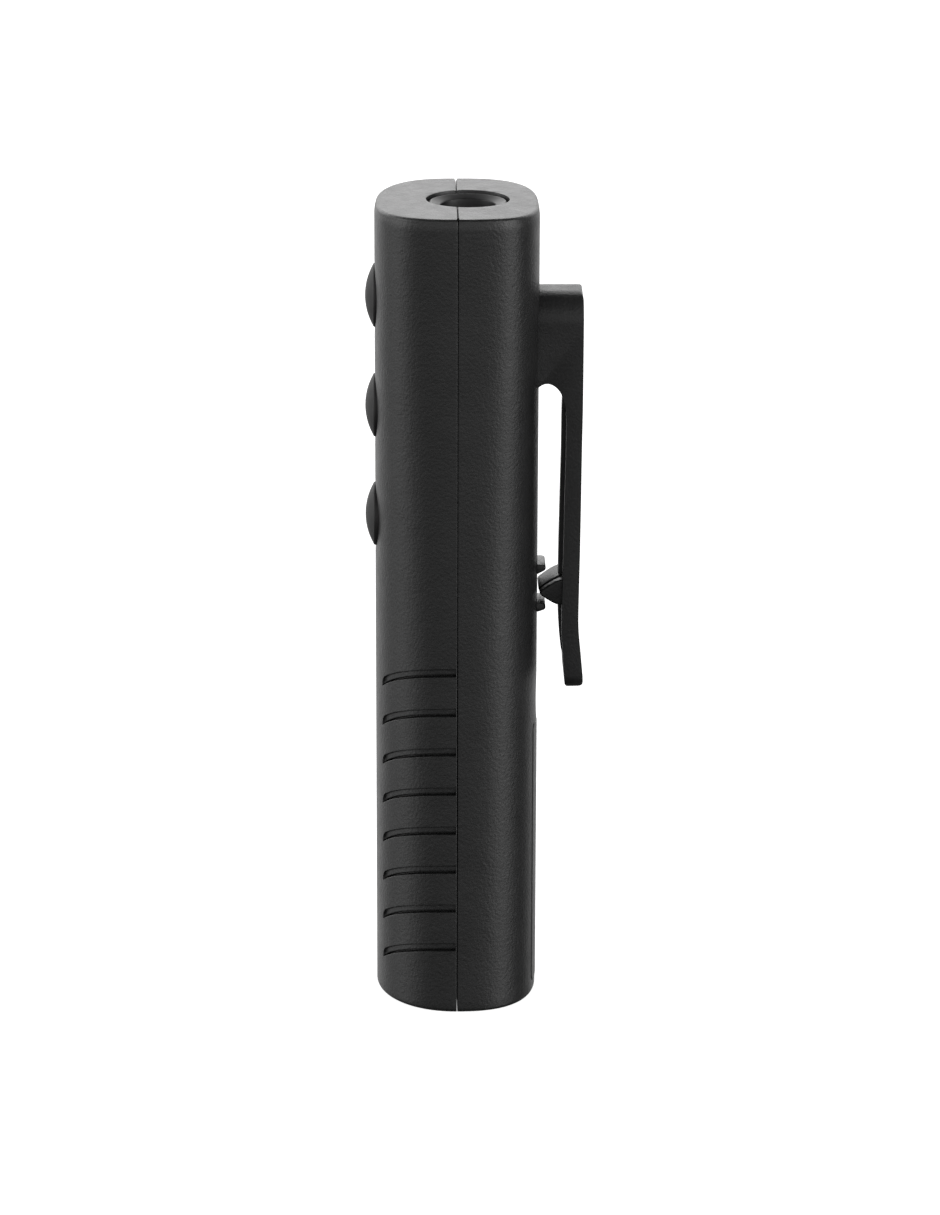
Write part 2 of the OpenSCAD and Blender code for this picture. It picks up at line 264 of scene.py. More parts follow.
def weighted(ob):
    m = ob.modifiers.new("weighted", "WEIGHTED_NORMAL")
    m.keep_sharp = True
    m.weight = 60
    return m


# ---------------------------------------------------------------- materials
def new_mat(name):
    m = bpy.data.materials.new(name)
    m.use_nodes = True
    nt = m.node_tree
    nt.nodes.clear()
    out = nt.nodes.new("ShaderNodeOutputMaterial")
    bs = nt.nodes.new("ShaderNodeBsdfPrincipled")
    nt.links.new(bs.outputs[0], out.inputs[0])
    return m, nt, bs


def noise(nt, co, scale, detail=3.0, rough=0.55):
    n = nt.nodes.new("ShaderNodeTexNoise")
    n.inputs["Scale"].default_value = scale
    n.inputs["Detail"].default_value = detail
    n.inputs["Roughness"].default_value = rough
    nt.links.new(co, n.inputs["Vector"])
    return n.outputs[0]


def ramp(nt, fac, stops):
    r = nt.nodes.new("ShaderNodeValToRGB")
    while len(r.color_ramp.elements) < len(stops):
        r.color_ramp.elements.new(0.5)
    for e, (p, c) in zip(r.color_ramp.elements, stops):
        e.position = p
        e.color = c if len(c) == 4 else (*c, 1)
    nt.links.new(fac, r.inputs[0])
    return r.outputs[0]


def math_node(nt, op, a, b=None, c=None):
    n = nt.nodes.new("ShaderNodeMath")
    n.operation = op
    for i, v in enumerate((a, b, c)):
        if v is None:
            continue
        if isinstance(v, (int, float)):
            n.inputs[i].default_value = v
        else:
            nt.links.new(v, n.inputs[i])
    return n.outputs[0]


def coords(nt):
    return nt.nodes.new("ShaderNodeTexCoord").outputs["Object"]


def bump(nt, height, strength, distance, normal=None):
    b = nt.nodes.new("ShaderNodeBump")
    b.inputs["Strength"].default_value = strength
    b.inputs["Distance"].default_value = distance
    nt.links.new(height, b.inputs["Height"])
    if normal is not None:
        nt.links.new(normal, b.inputs["Normal"])
    return b.outputs[0]


def plastic(name, dark, light, rough=(0.42, 0.56), grain=2600.0, depth=0.00005, strength=0.5, spec=0.5,
            cloud=120.0, wear=0.0, coat=0.0):
    """Moulded plastic: spark-eroded grain, slow flow clouding, slightly polished high edges."""
    m, nt, bs = new_mat(name)
    co = coords(nt)
    fine = noise(nt, co, grain, 3.0, 0.6)
    mid = noise(nt, co, grain / 4.5, 2.0, 0.5)
    slow = noise(nt, co, cloud, 3.0, 0.5)
    mix = math_node(nt, "MULTIPLY_ADD", slow, 0.5, math_node(nt, "MULTIPLY", fine, 0.5))
    col = ramp(nt, mix, [(0.32, dark), (0.68, light)])
    if wear > 0:
        geo = nt.nodes.new("ShaderNodeNewGeometry")
        edge = ramp(nt, geo.outputs["Pointiness"], [(0.52, (0, 0, 0)), (0.60, (1, 1, 1))])
        broken = math_node(nt, "MULTIPLY", edge, ramp(nt, slow, [(0.40, (0, 0, 0)), (0.62, (1, 1, 1))]))
        amount = math_node(nt, "MULTIPLY", broken, wear)
        mx = nt.nodes.new("ShaderNodeMix")
        mx.data_type = "RGBA"
        nt.links.new(amount, mx.inputs[0])
        nt.links.new(col, mx.inputs[6])
        mx.inputs[7].default_value = (*[min(1.0, 2.6 * c) for c in light[:3]], 1)
        col = mx.outputs[2]
    nt.links.new(col, bs.inputs["Base Color"])
    rg = math_node(nt, "MULTIPLY_ADD", mid, rough[1] - rough[0], rough[0])
    nt.links.new(rg, bs.inputs["Roughness"])
    bs.inputs["Specular IOR Level"].default_value = spec
    if coat:
        bs.inputs["Coat Weight"].default_value = coat
        bs.inputs["Coat Roughness"].default_value = 0.25
    h = math_node(nt, "ADD", math_node(nt, "MULTIPLY", fine, 0.65), math_node(nt, "MULTIPLY", mid, 0.35))
    nt.links.new(bump(nt, h, strength, depth), bs.inputs["Normal"])
    return m


def metal(name, base, rough=(0.2, 0.35), stretch=(1, 1, 12), scale=900.0, metallic=1.0):
    m, nt, bs = new_mat(name)
    co = coords(nt)
    mp = nt.nodes.new("ShaderNodeMapping")
    mp.inputs["Scale"].default_value = stretch
    nt.links.new(co, mp.inputs["Vector"])
    f = noise(nt, mp.outputs[0], scale, 4.0, 0.6)
    c = ramp(nt, f, [(0.3, tuple(0.82 * x for x in base)), (0.7, base)])
    nt.links.new(c, bs.inputs["Base Color"])
    bs.inputs["Metallic"].default_value = metallic
    nt.links.new(math_node(nt, "MULTIPLY_ADD", f, rough[1] - rough[0], rough[0]), bs.inputs["Roughness"])
    nt.links.new(bump(nt, f, 0.25, 0.00002), bs.inputs["Normal"])
    return m


def board_mat():
    """Green solder mask over a faint woven laminate, with copper areas showing as lighter green."""
    m, nt, bs = new_mat("m_board")
    co = coords(nt)
    w = nt.nodes.new("ShaderNodeTexWave")
    w.wave_type = "BANDS"
    w.bands_direction = "X"
    w.inputs["Scale"].default_value = 420
    nt.links.new(co, w.inputs["Vector"])
    w2 = nt.nodes.new("ShaderNodeTexWave")
    w2.wave_type = "BANDS"
    w2.bands_direction = "Z"
    w2.inputs["Scale"].default_value = 420
    nt.links.new(co, w2.inputs["Vector"])
    weave = math_node(nt, "MULTIPLY", w.outputs[1], w2.outputs[1])
    v = nt.nodes.new("ShaderNodeTexVoronoi")
    v.distance = "MANHATTAN"
    v.inputs["Scale"].default_value = 260
    nt.links.new(co, v.inputs["Vector"])
    copper = ramp(nt, v.outputs["Distance"], [(0.30, (1, 1, 1)), (0.34, (0, 0, 0))])
    n = noise(nt, co, 300, 3)
    base = ramp(nt, n, [(0.3, (0.010, 0.075, 0.030)), (0.7, (0.016, 0.11, 0.045))])
    mx = nt.nodes.new("ShaderNodeMix")
    mx.data_type = "RGBA"
    nt.links.new(copper, mx.inputs[0])
    nt.links.new(base, mx.inputs[6])
    mx.inputs[7].default_value = (0.035, 0.19, 0.075, 1)
    nt.links.new(mx.outputs[2], bs.inputs["Base Color"])
    nt.links.new(math_node(nt, "MULTIPLY_ADD", n, 0.15, 0.25), bs.inputs["Roughness"])
    h = math_node(nt, "ADD", math_node(nt, "MULTIPLY", weave, 0.3), copper)
    nt.links.new(bump(nt, h, 0.4, 0.00003), bs.inputs["Normal"])
    return m


def sleeve_mat():
    """Cell sleeve: amber band with a dark band towards the flat end, fine print-like speckle and satin film."""
    m, nt, bs = new_mat("m_sleeve")
    co = coords(nt)
    sp = nt.nodes.new("ShaderNodeSeparateXYZ")
    nt.links.new(co, sp.inputs[0])
    n = noise(nt, co, 700, 3)
    z = math_node(nt, "MULTIPLY_ADD", n, 0.0003, sp.outputs[2])
    t = math_node(nt, "DIVIDE", z, 0.05)
    r = ramp(nt, t, [(0.0, (0.55, 0.55, 0.56)), (0.112, (0.55, 0.55, 0.56)), (0.118, (0.50, 0.22, 0.03)),
                     (0.62, (0.50, 0.22, 0.03)), (0.63, (0.02, 0.02, 0.022)), (0.955, (0.02, 0.02, 0.022)),
                     (0.965, (0.55, 0.55, 0.56))])
    nt.links.new(r, bs.inputs["Base Color"])
    nt.links.new(math_node(nt, "MULTIPLY_ADD", n, 0.15, 0.22), bs.inputs["Roughness"])
    bs.inputs["Metallic"].default_value = 0.25
    nt.links.new(bump(nt, noise(nt, co, 260, 2), 0.15, 0.00006), bs.inputs["Normal"])
    return m


def lens_mat():
    m, nt, bs = new_mat("m_lens")
    co = coords(nt)
    n = noise(nt, co, 500, 2)
    nt.links.new(ramp(nt, n, [(0.3, (0.80, 0.84, 0.87)), (0.7, (0.90, 0.93, 0.95))]), bs.inputs["Base Color"])
    nt.links.new(math_node(nt, "MULTIPLY_ADD", n, 0.05, 0.04), bs.inputs["Roughness"])
    bs.inputs["Transmission Weight"].default_value = 0.85
    bs.inputs["IOR"].default_value = 1.56
    nt.links.new(bump(nt, n, 0.05, 0.00002), bs.inputs["Normal"])
    return m


def give(ob, mat):
    ob.data.materials.clear() if ob.name not in N else None
    if ob.name in N:
        for s in ob.material_slots:
            s.material = mat
        if not ob.material_slots:
            ob.data.materials.append(mat)
    else:
        ob.data.materials.append(mat)
    return ob


def piece(ob, body, slot, mat, *replaced):
    give(ob, mat)
    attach(ob, body)
    if replaced:
        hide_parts(*replaced)
    return ob


M_CASE = plastic("m_casing", (0.0085, 0.0086, 0.0088), (0.0145, 0.0146, 0.0148), rough=(0.33, 0.45), grain=1900.0, depth=0.00014, strength=1.0, wear=0.25)
M_CLIP = plastic("m_clip", (0.0080, 0.0081, 0.0083), (0.0135, 0.0136, 0.0138), rough=(0.38, 0.50), grain=2000.0, depth=0.00014, strength=1.0, wear=0.3, spec=0.36)
M_BUTTON = plastic("m_button", (0.0085, 0.0085, 0.0086), (0.0135, 0.0135, 0.0137), rough=(0.52, 0.66), grain=3400.0,
                   depth=0.00003, strength=0.4)
M_COLLAR = plastic("m_collar", (0.0060, 0.0060, 0.0062), (0.0105, 0.0105, 0.0107), rough=(0.36, 0.48), grain=3000.0, strength=0.4)

# ---------------------------------------------------------------- casing
CHAM_Y = 0.05


def cham(z):
    """Width of the seam's chamfer at height z: finer above the grooves, and wider at the two ends."""
    return 0.10 + 0.10 * (1 - smooth((z - 62.0) / 6.0)) + 0.12 * smooth((z - 139.6) / 1.2)


def columns(n, sign, fine):
    """Angles of the columns from one seam to the other on the front (sign -1) or rear (+1) half, with arc lengths from the nearer seam."""
    _, total = angles_at(np.array([0.0]), n)
    if fine:
        s = np.concatenate([np.arange(0.30, 0.80, 0.07), np.arange(0.80, 16.2, 0.30), np.arange(16.2, 18.0, 0.09),
                            np.linspace(18.0, total, 26)])
    else:
        s = np.concatenate([np.array([0.30, 0.45, 0.65]), np.linspace(0.9, total, 84)])
    t, _ = angles_at(s, n)
    t_all = np.concatenate([t, math.pi - t[-2::-1]])
    s_all = np.concatenate([s, s[-2::-1]])
    return sign * t_all, s_all


def half_rings(n, sign, t, s, rows, depth_of=None):
    """Rings of a half body. rows are (height at the seam, drop factor, inset)."""
    drop = 0.0143 * np.minimum(s, 18.2) ** 2
    out = []
    for z0, k, ins in rows:
        z = z0 - k * drop
        dep = np.zeros_like(s) if depth_of is None else depth_of(z0, s)
        ins = ins + float(lean(z0))
        x, y = sec(t, z, ins + dep, n)
        c = float(cham(z0))
        xa = A * float(scl(z0)) - ins
        p0 = [xa - c, sign * CHAM_Y, z0]
        p1 = [xa - 0.30 * c, sign * (CHAM_Y + 0.28 * c), z0]
        p2 = [xa - 0.04 * c, sign * (CHAM_Y + 0.75 * c), z0]
        fall = smooth((z - (H - 6.0)) / (6.0 - TOP_R))
        ring = [p0, p1, p2] + np.stack([x, y, z - fall * crown(y)], 1).tolist()
        ring += [[-p2[0], p2[1], z0], [-p1[0], p1[1], z0], [-p0[0], p0[1], z0]]
        out.append(ring)
    return out


def half_mesh(name, rings, sign):
    """Closed half body: its rings, a flat base, and a top face that follows the crown."""
    g = [np.array(q, float) for q in rings]
    top = g[-1]
    floor_y = sign * CHAM_Y
    for k in (0.8, 0.6, 0.42, 0.26, 0.12, 0.0):
        q = top.copy()
        q[:, 1] = floor_y + (top[:, 1] - floor_y) * k
        q[:, 2] = H - crown(q[:, 1])
        g.append(q)
    v = np.concatenate(g) * MM
    n, m = len(g), len(top)
    idx = np.arange(n * m).reshape(n, m)
    a, b = idx[:-1, :-1], idx[:-1, 1:]
    c, d = idx[1:, 1:], idx[1:, :-1]
    faces = np.stack([a, b, c, d], -1).reshape(-1, 4).tolist()
    nr = len(rings)
    faces += [[int(idx[i, -1]), int(idx[i, 0]), int(idx[i + 1, 0]), int(idx[i + 1, -1])] for i in range(nr - 1)]
    # the last, straight row closes on the flat joint face
    row = idx[-1]
    faces.append([int(idx[nr - 1, -1]), int(idx[nr - 1, 0])] + [int(q) for q in row])
    faces.append(idx[0, ::-1].tolist())
    ob = mesh_object(name, v, faces)
    clean(ob, 2e-7)
    return ob


def fillet_rows(z_end, r, top, seg=7):
    q = np.linspace(0, math.pi / 2, seg + 1)
    if top:
        return [(z_end - r + r * math.sin(a), 0.0, r - r * math.cos(a)) for a in q]
    return [(z_end + r - r * math.sin(a), 0.0, r - r * math.cos(a)) for a in q[::-1]]


G_Z, G_P, G_W, G_N = 12.8, 7.1, 1.45, 8
U = np.array([-0.12, -0.05, 0.0, 0.025, 0.05, 0.08, 0.12, 0.2, 0.32, 0.44, 0.56, 0.66, 0.72, 0.76, 0.80, 0.84,
              0.88, 0.93, 0.965, 0.99, 1.01, 1.05, 1.10, 1.18])
PU = [-0.05, 0.0, 0.025, 0.05, 0.08, 0.12, 0.20, 0.66, 0.72, 0.76, 0.80, 0.84, 0.88, 0.93, 0.965, 0.99, 1.01, 1.05]
PD = [0.0, 0.015, 0.18, 0.33, 0.40, 0.425, 0.43, 0.44, 0.47, 0.60, 0.84, 1.02, 1.08, 1.08, 1.00, 0.32, 0.05, 0.0]
S_END = 17.9


def groove_depth(z0, s):
    """Depth of the grip grooves at seam height z0 and arc length s."""
    k = round((z0 - (G_Z - G_W / 2)) / G_P)
    if k < 0 or k >= G_N:
        return np.zeros_like(s)
    top = G_Z + k * G_P
    u = (top - z0) / G_W
    if u < -0.06 or u > 1.06:
        return np.zeros_like(s)
    q = np.clip((s - (S_END - 1.25)) / 1.25, 0, 1)
    u0 = 1 - np.sqrt(np.clip(1 - q * q, 0, 1))
    uu = np.where(q >= 1, -1, (u - u0) / np.maximum(1 - u0, 1e-3))
    d = np.interp(uu, PU, PD)
    d = np.where(uu < -0.05, 0, d)
    d *= smooth((S_END - s) / 0.42) * smooth((s - 0.12) / 0.12)
    return d


def lean(z):
    """The last two millimetres of the side lean in a little below the top edge."""
    u = np.clip((z - (H - 2.1)) / (2.1 - TOP_R), 0, 1)
    return 0.22 * u * u


def lean_rows():
    return [(z, 0.0, 0.0) for z in np.linspace(H - 2.4, H - TOP_R, 9)[:-1]]


def front_rows():
    rows = fillet_rows(0.0, BASE_R, False)
    z_low = G_Z - G_W * 1.18
    for z in np.linspace(BASE_R, z_low, 12)[1:-1]:
        rows.append((z, (z - BASE_R) / (z_low - BASE_R), 0.0))
    for k in range(G_N):
        top = G_Z + k * G_P
        rows += [(top - u * G_W, 1.0, 0.0) for u in U[::-1]]
        if k < G_N - 1:
            a, b = top - U[0] * G_W, top + G_P - U[-1] * G_W
            rows += [(z, 1.0, 0.0) for z in np.linspace(a, b, 7)[1:-1]]
    z_hi = G_Z + (G_N - 1) * G_P - U[0] * G_W
    for z in np.linspace(z_hi, z_hi + 15, 12)[1:]:
        rows.append((z, 1 - (z - z_hi) / 15, 0.0))
    rows += [(z, 0.0, 0.0) for z in np.linspace(z_hi + 15, H - 2.4, 52)[1:-1]]
    rows += lean_rows()
    rows += fillet_rows(H, TOP_R, True)
    return rows


def cavity(name, sign):
    q = np.linspace(0, 2 * math.pi, 161)[:-1]
    rings = []
    for z, ins in ((2.0, 2.6), (2.25, 2.15), (2.8, 2.0), (64.0, 2.0), (78.0, 2.0), (92.0, 2.0), (106.0, 2.0), (120.0, 2.0), (130.0, 2.0),
                   (137.6, 2.0), (138.3, 2.2), (138.6, 2.6)):
        xf, yf = sec(q, z, ins, NR if sign > 0 else NF)
        rings.append(np.stack([xf, yf, np.full_like(xf, z)], 1))
    return ring_mesh(name, rings)


def seam_v(name, sign):
    """Cutter that chamfers the top face along the seam."""
    c = 0.16
    return prism_x(name, [(sign * -1.0, H + 1), (sign * (CHAM_Y + c + 0.5), H + 0.5), (sign * (CHAM_Y - 0.02), H - c)], -30, 30)


def seam_notch(name, side):
    """Cutter for the notch where the seam crosses the top edge, on the +X or -X side."""
    x_out, x_in = side * 19.0, side * 14.3
    v = []
    for x, half, z_tip in ((x_out, 0.36, H - 0.86), (x_in, 0.06, H + 0.02)):
        v += [(x, -half - 0.2, H + 0.6), (x, half + 0.2, H + 0.6), (x, half, H + 0.01), (x, 0.05, z_tip), (x, -0.05, z_tip),
              (x, -half, H + 0.01)]
    f = [list(range(6)), list(range(11, 5, -1))] + [[i, (i + 1) % 6, 6 + (i + 1) % 6, 6 + i] for i in range(6)]
    return fix_normals(mesh_object(name, np.array(v) * MM, f))


def top_hole(name):
    r = 7.15
    return lathe(name, [(0, 125), (r, 125), (r, H - 0.12), (r + 0.03, H - 0.04), (r + 0.12, H),
                        (r + 0.12, H + 3), (0, H + 3)], (0, 1.87, 0), seg=128)


BUTTON_Z = [124.2, 104.85, 85.5]


def build_front():
    t, s = columns(NF, -1, True)
    ob = half_mesh("casing_front", half_rings(NF, -1, t, s, front_rows(), groove_depth), -1)
    cut = [cavity("c0", -1), top_hole("c1"), seam_v("c2", -1), seam_notch("n0", -1), seam_notch("n1", 1)]
    for i, z in enumerate(BUTTON_Z):
        cut.append(lathe("w%d" % i, [(0, 8.0), (5.65, 8.0), (5.65, 13.05), (5.70, 13.3), (5.9, 13.62), (6.3, 14.0),
                                     (7.4, 14.7), (7.4, 16.0), (0, 16.0)], (0, 0, z), "-Y", 112))
    boolean(ob, "DIFFERENCE", *cut)
    clean(ob)
    shade(ob, 34)
    return ob


def rib(name, pts):
    """A short rounded bar across the rear shell."""
    ob = prism_x(name, pts, -3.3, 3.3)
    bevel(ob, 0.28, 3, 28)
    apply_all(ob)
    return ob


RIB_HI = [(12.6, 75.35), (14.1, 75.35), (15.35, 76.05), (15.5, 76.5), (15.35, 76.9), (14.9, 77.05), (12.6, 77.05)]
RIB_LO = [(12.6, 68.55), (14.1, 68.55), (15.3, 68.95), (15.5, 69.4), (15.35, 69.85), (14.6, 70.2), (12.6, 70.25)]


def door_opening(name, grow=0.0):
    return prism_y(name, round_rect(-8.0 - grow, 8.0 + grow, 2.25 - grow, 49.55 + grow, [1.2] * 4), 9, 18)


def scoop(name):
    """Finger recess above the door: a shallow round dish."""
    bm = bmesh.new()
    bmesh.ops.create_uvsphere(bm, u_segments=160, v_segments=100, radius=16 * MM)
    bmesh.ops.translate(bm, verts=bm.verts, vec=(0, 29.15 * MM, 53.4 * MM))
    me = bpy.data.meshes.new(name)
    bm.to_mesh(me)
    bm.free()
    ob = bpy.data.objects.new(name, me)
    scene.collection.objects.link(ob)
    return ob


def rear_rows():
    rows = fillet_rows(0.0, BASE_R, False)
    rows += [(z, 0.0, 0.0) for z in np.linspace(BASE_R, H - 2.4, 110)[1:-1]]
    rows += lean_rows()
    rows += fillet_rows(H, TOP_R, True)
    return rows


def build_rear():
    t, s = columns(NR, 1, False)
    ob = half_mesh("casing_rear", half_rings(NR, 1, t, s, rear_rows()), 1)
    boolean(ob, "UNION", rib("r0", RIB_HI), rib("r1", RIB_LO))
    boolean(ob, "DIFFERENCE", cavity("c0", 1), top_hole("c1"), seam_v("c2", 1), door_opening("c3"), scoop("c4"),
            seam_notch("n0", -1), seam_notch("n1", 1))
    clean(ob)
    shade(ob, 34)
    return ob


def build_door():
    """Curved panel, a little proud of the rear shell."""
    nx, nz = 61, 96
    hw, z0, z1 = 7.82, 2.43, 49.37
    xs = np.linspace(-hw, hw, nx)
    zs = np.linspace(z0, z1, nz)
    X, Z = np.meshgrid(xs, zs)
    a = A * scl(Z)
    b = B * scl(Z)
    Y = b * (1 - np.abs(X / a) ** NR) ** (1 / NR)
    outer = np.stack([X, Y + 0.1, Z], -1)
    inner = np.stack([X, Y - 1.5, Z], -1)
    v = np.concatenate([outer.reshape(-1, 3), inner.reshape(-1, 3)])
    o = np.arange(nx * nz).reshape(nz, nx)
    i = o + nx * nz
    f = [[o[r, c], o[r, c + 1], o[r + 1, c + 1], o[r + 1, c]] for r in range(nz - 1) for c in range(nx - 1)]
    f += [[i[r, c], i[r + 1, c], i[r + 1, c + 1], i[r, c + 1]] for r in range(nz - 1) for c in range(nx - 1)]
    for r in range(nz - 1):
        f.append([o[r, 0], o[r + 1, 0], i[r + 1, 0], i[r, 0]])
        f.append([o[r + 1, -1], o[r, -1], i[r, -1], i[r + 1, -1]])
    for c in range(nx - 1):
        f.append([o[0, c + 1], o[0, c], i[0, c], i[0, c + 1]])
        f.append([o[-1, c], o[-1, c + 1], i[-1, c + 1], i[-1, c]])
    ob = fix_normals(mesh_object("door_panel", v * MM, [[int(q) for q in k] for k in f]))
    rr = prism_y("rr", round_rect(-hw, hw, z0, z1, [1.1] * 4), 6, 18)
    boolean(ob, "INTERSECT", rr)
    ribs = []
    for k, x in enumerate((-6.1, 6.1)):
        ribs.append(prism_x("rb%d" % k, [(10.5, 6.4), (10.9, 6), (12.6, 6), (12.6, 46), (10.9, 46), (10.5, 45.6)],
                            x - 0.4, x + 0.4))
    boolean(ob, "UNION", *ribs)
    boolean(ob, "DIFFERENCE", scoop("c4"))
    clean(ob)
    bevel(ob, 0.14, 2, 60)
    apply_all(ob)
    shade(ob, 34)
    return ob


def spline(pts, step):
    """Open Catmull-Rom curve through the points, sampled about every step mm."""
    p = [np.array(q, float) for q in pts]
    p = [2 * p[0] - p[1]] + p + [2 * p[-1] - p[-2]]
    out = []
    for k in range(1, len(p) - 2):
        n = max(1, int(round(np.linalg.norm(p[k + 1] - p[k]) / step)))
        for j in range(n):
            t = j / n
            out.append(0.5 * (2 * p[k] + (p[k + 1] - p[k - 1]) * t + (2 * p[k - 1] - 5 * p[k] + 4 * p[k + 1] - p[k + 2]) * t * t
                              + (3 * p[k] - p[k - 1] - 3 * p[k + 1] + p[k + 2]) * t ** 3))
    out.append(p[-2])
    return [tuple(q) for q in out]


def build_clip():
    """One moulded clip: root block, arch, arm with its inner rib, flared tip and pad."""
    outer = [(20.52, 125.5), (20.94, 125.42), (21.3, 125.18), (21.54, 124.82), (21.62, 124.4)]
    outer += spline([(21.62, 122.0), (21.61, 116), (21.56, 106.2), (21.45, 98.5), (21.36, 90), (21.25, 80.7), (21.12, 73.5),
                     (21.05, 68.2), (21.15, 65.6), (21.43, 62.7), (21.86, 58.0)], 1.2)
    tip = [(21.9, 57.0), (21.84, 56.5), (21.7, 56.18), (21.45, 55.96), (21.1, 55.85), (19.4, 55.72), (19.05, 55.86),
           (18.82, 56.15), (18.72, 56.5)]
    inner = spline([(18.66, 57.2), (18.45, 60.9), (18.22, 65.0), (18.16, 68.1), (18.25, 73), (18.37, 78.9), (18.55, 89.6),
                    (18.72, 97), (18.8, 103.2)], 1.2)
    arch = spline([(18.72, 104.9), (18.42, 106.6), (17.8, 108.35), (16.8, 109.6), (15.55, 110.15), (14.6, 109.95),
                   (13.95, 109.5), (13.2, 108.8), (12.6, 107.9)], 0.45)
    ob = prism_x("clip_moulding", outer + tip + inner[:-1] + arch + [(12.6, 125.5)], -7.0, 7.0)
    outline = round_rect(-7.0, 7.0, 55.6, 125.5, [2.5, 2.5, 5.0, 5.0], 14)
    boolean(ob, "INTERSECT", prism_y("o", outline, 10, 26))
    clean(ob)
    bevel(ob, 0.42, 4, 40)
    apply_all(ob)
    clean(ob)
    # stiffening rib, from the arch to below the pad
    rib_in = spline([(18.3, 109.2), (18.18, 106.5), (18.1, 103), (18.05, 97), (17.9, 89.6), (17.7, 78.9), (17.65, 70),
                     (17.85, 65), (18.2, 61.5), (18.6, 60.4)], 1.0)
    stiff = prism_x("stiff", [(19.4, 109.6)] + rib_in + [(19.4, 60.0)], -2.0, 2.0)
    bevel(stiff, 0.12, 2, 50)
    apply_all(stiff)
    # pad, with a shallow groove across its crown
    lobe = [(19.4, 69.9)] + spline([(18.9, 70.0), (17.1, 70.35), (15.9, 71.0), (14.85, 71.7), (14.35, 72.15), (14.22, 72.45),
                                    (14.4, 72.8), (15.1, 73.35), (16.0, 74.0), (17.2, 74.7), (18.9, 75.3)], 0.4) + [(19.4, 75.4)]
    far = prism_x("pad_a", lobe, -5.2, 2.6)
    bevel(far, 0.5, 4, 60)
    apply_all(far)
    core = [(19.4 - (19.4 - y) * 0.95, 72.6 + (z - 72.6) * 0.86) for y, z in lobe]
    near = prism_x("pad_b", core, -4.6, 4.7)
    bevel(near, 0.3, 3, 60)
    apply_all(near)
    edge = [(19.4 - (19.4 - y) * 0.975, 72.6 + (z - 72.6) * 0.95) for y, z in lobe]
    rim = prism_x("pad_c", edge, 3.1, 5.2)
    bevel(rim, 0.5, 4, 60)
    apply_all(rim)
    boolean(ob, "UNION", stiff, far, near, rim)
    clean(ob)
    shade(ob, 38)
    return ob


def build_button(name, z):
    """Soft cap: dome with a rolled rim, on a flange."""
    R = (5.6 ** 2 + 1.6 ** 2) / 3.2
    yc = 15.75 - R
    prof = [(0, 9.75), (2.0, 9.75), (2.0, 10.05), (6.1, 10.05), (6.3, 10.2), (6.3, 10.85), (5.5, 10.85)]
    edge = yc + math.sqrt(R * R - 5.25 ** 2)
    for k in range(7):
        q = math.pi / 2 * k / 6 * 0.72
        prof.append((5.5 - 0.32 * (1 - math.cos(q)), edge - 0.36 + 0.36 * math.sin(q) / math.sin(math.pi / 2 * 0.72)))
    for r in np.linspace(5.1, 0.35, 26):
        prof.append((r, yc + math.sqrt(R * R - r * r)))
    prof.append((0, yc + R))
    ob = lathe(name, prof, (0, 0, z), "-Y", 112)
    shade(ob, 50)
    return ob


def build_collar():
    b, t = 4.7, H - 0.4
    prof = [(b, 134.0), (b, t - 0.80), (b + 0.05, t - 0.66), (b + 0.2, t - 0.56), (6.1, t - 0.13), (6.2, t - 0.08), (6.32, t - 0.03),
            (6.42, t - 0.03), (6.54, t - 0.08), (6.62, t - 0.2), (6.66, t - 0.5), (6.7, t - 1.0), (6.75, H - 2.4), (8.4, H - 2.4),
            (8.4, 136.8), (6.75, 136.8), (6.75, 129.5), (6.15, 129.5), (6.15, 134.0)]
    ob = lathe("collar", prof, (0, 1.87, 0), seg=128)
    shade(ob, 40)
    return ob


# ---------------------------------------------------------------- stage and light
def stage():
    v = [(-6, -6, 0), (6, -6, 0), (6, 6, 0), (-6, 6, 0)]
    fl = mesh_object("floor", v, [[0, 1, 2, 3]])
    m, nt, bs = new_mat("m_floor")
    co = coords(nt)
    n = noise(nt, co, 14, 2)
    nt.links.new(ramp(nt, n, [(0.3, (0.86, 0.86, 0.86)), (0.7, (0.88, 0.88, 0.88))]), bs.inputs["Base Color"])
    bs.inputs["Roughness"].default_value = 0.9
    bs.inputs["Specular IOR Level"].default_value = 0.1
    bs.inputs["Emission Color"].default_value = (1, 1, 1, 1)
    bs.inputs["Emission Strength"].default_value = 0.78
    fl.data.materials.append(m)
    fl.visible_glossy = False
    fl.visible_diffuse = False


place_camera()
stage()

